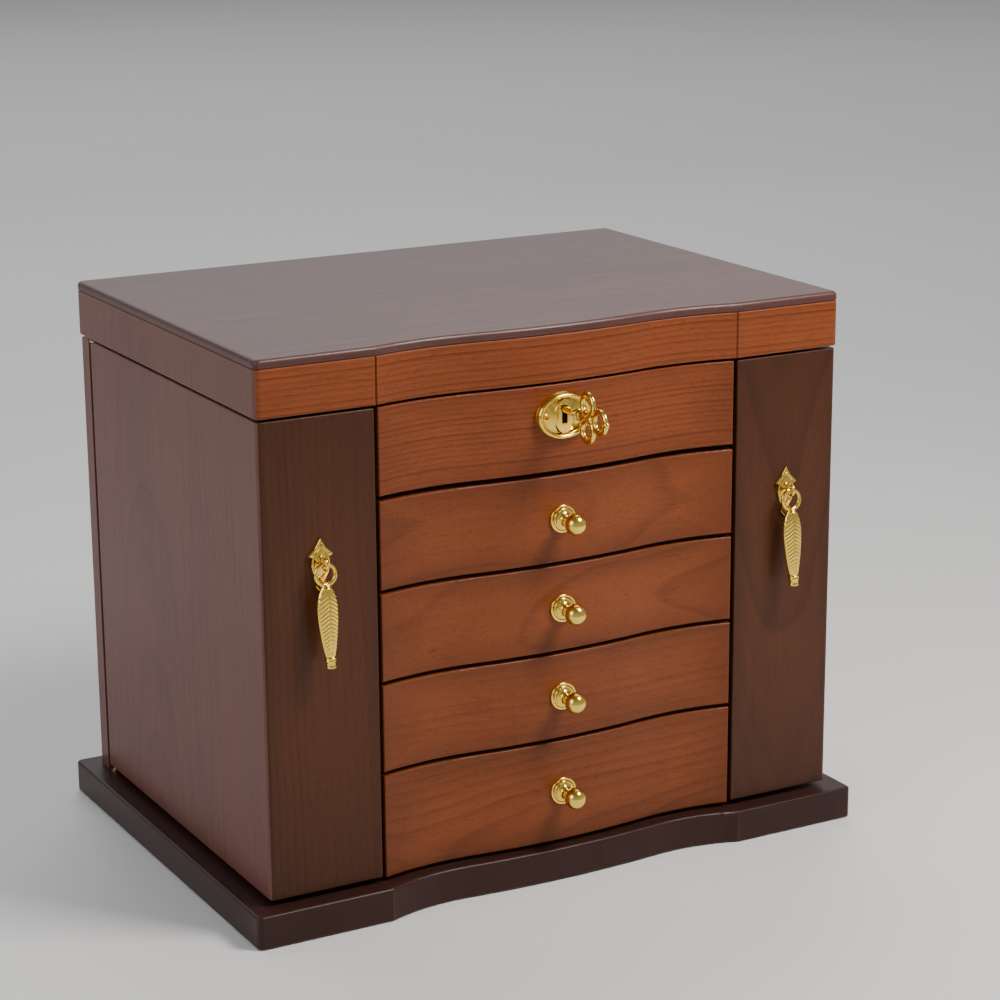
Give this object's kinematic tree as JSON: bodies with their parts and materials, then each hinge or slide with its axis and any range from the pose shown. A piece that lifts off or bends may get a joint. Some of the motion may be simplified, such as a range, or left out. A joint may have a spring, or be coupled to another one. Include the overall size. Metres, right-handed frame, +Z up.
{
  "type": "jewellery chest",
  "caption": "Wooden jewellery chest: lockable lift-up lid over a lined tray, serpentine drawers with ball knobs, and swing-out side wings with necklace hooks and pendant pulls.",
  "frame": {"origin": "middle of the felt underside of the base", "axes": "+Z up, drawer fronts face -Y, +X to the right seen from the front"},
  "size_m": [0.404, 0.3263, 0.334],
  "materials": {
    "lid_wood": "satin lacquer, mauve-brown, fine straight grain along the width",
    "case_wood": "satin lacquer, dark red-brown, upright grain",
    "straight_grain_wood": "satin lacquer, reddish brown, stripy grain along the width",
    "figured_wood": "satin lacquer, reddish brown, flame figure",
    "strip_wood": "satin lacquer, dark red-brown, upright grain",
    "base_wood": "satin lacquer, near-black brown",
    "inner_wood": "stained, matt",
    "brass": "polished, lacquered",
    "steel": "brushed",
    "velvet": "short pile",
    "satin": "gathered satin",
    "felt": "pressed felt",
    "mirror": "silvered glass"
  },
  "bodies": {
    "chest": {"base_felt": "felt", "base_front_moulding": "base_wood", "base_plinth": "base_wood", "wing_pivots": "brass", "back_panel": "case_wood", "left_partition": "inner_wood", "right_partition": "inner_wood", "dust_boards": "inner_wood", "lock_panel": "straight_grain_wood", "lock_case": "steel", "escutcheon": "brass", "escutcheon_screws": "brass", "tray_floor": "inner_wood", "tray_lining": "velvet", "tray_dividers": "velvet", "ring_rolls": "velvet", "lid_hinge_case_leaves": "brass", "lid_hinge_pins": "brass"},
    "lid": {"lid_top": "lid_wood", "left_lid_rail": "lid_wood", "right_lid_rail": "lid_wood", "lid_back_rail": "lid_wood", "lid_front_ends": "lid_wood", "lid_front_centre": "straight_grain_wood", "lid_lining": "velvet", "lid_mirror": "mirror", "strike_plate": "brass", "lid_hinge_lid_leaves": "brass"},
    "drawer_1": {"drawer_1_front": "figured_wood", "drawer_1_box": "inner_wood", "drawer_1_lining": "velvet", "drawer_1_knob": "brass"},
    "drawer_2": {"drawer_2_front": "figured_wood", "drawer_2_box": "inner_wood", "drawer_2_lining": "velvet", "drawer_2_knob": "brass"},
    "drawer_3": {"drawer_3_front": "figured_wood", "drawer_3_box": "inner_wood", "drawer_3_lining": "velvet", "drawer_3_knob": "brass"},
    "drawer_4": {"drawer_4_front": "figured_wood", "drawer_4_box": "inner_wood", "drawer_4_lining": "velvet", "drawer_4_knob": "brass"},
    "left_wing": {"left_wing_side": "case_wood", "left_wing_strip": "strip_wood", "left_wing_caps": "inner_wood", "left_wing_hooks": "brass", "left_wing_pocket": "satin", "left_pull_plate": "brass"},
    "right_wing": {"right_wing_side": "case_wood", "right_wing_strip": "strip_wood", "right_wing_caps": "inner_wood", "right_wing_hooks": "brass", "right_wing_pocket": "satin", "right_pull_plate": "brass"},
    "left_drop": {"left_pull_drop": "brass"},
    "right_drop": {"right_pull_drop": "brass"},
    "key": {"key": "brass"},
    "bolt": {"lock_bolt": "steel"}
  },
  "joints": [
    {"name": "lid_hinge", "type": "hinge", "parent": "chest", "child": "lid", "pos_m": [0, 0.1348, 0.3002], "axis": [-1, 0, 0], "range_deg": [0, 100]},
    {"name": "left_wing_hinge", "type": "hinge", "parent": "chest", "child": "left_wing", "pos_m": [-0.186, 0.115, 0.16], "axis": [0, 0, -1], "range_deg": [0, 95]},
    {"name": "right_wing_hinge", "type": "hinge", "parent": "chest", "child": "right_wing", "pos_m": [0.186, 0.115, 0.16], "axis": [0, 0, 1], "range_deg": [0, 95]},
    {"name": "drawer_1_slide", "type": "slide", "parent": "chest", "child": "drawer_1", "axis": [0, -1, 0], "range_m": [0, 0.17]},
    {"name": "drawer_2_slide", "type": "slide", "parent": "chest", "child": "drawer_2", "axis": [0, -1, 0], "range_m": [0, 0.17]},
    {"name": "drawer_3_slide", "type": "slide", "parent": "chest", "child": "drawer_3", "axis": [0, -1, 0], "range_m": [0, 0.17]},
    {"name": "drawer_4_slide", "type": "slide", "parent": "chest", "child": "drawer_4", "axis": [0, -1, 0], "range_m": [0, 0.17]},
    {"name": "left_pull_swing", "type": "hinge", "parent": "left_wing", "child": "left_drop", "pos_m": [-0.1542, -0.1397, 0.2175], "axis": [-1, 0, 0], "range_deg": [0, 80]},
    {"name": "right_pull_swing", "type": "hinge", "parent": "right_wing", "child": "right_drop", "pos_m": [0.1542, -0.1397, 0.2175], "axis": [-1, 0, 0], "range_deg": [0, 80]},
    {"name": "key_turn", "type": "hinge", "parent": "chest", "child": "key", "pos_m": [0, -0.13, 0.285], "axis": [0, 1, 0], "range_deg": [0, 90]},
    {"name": "bolt_slide", "type": "slide", "parent": "chest", "child": "bolt", "axis": [1, 0, 0], "range_m": [0, 0.004]}
  ],
  "couplings": [
    {"joint": "bolt_slide", "follows": "key_turn", "m_per_rad": 0.0025}
  ]
}
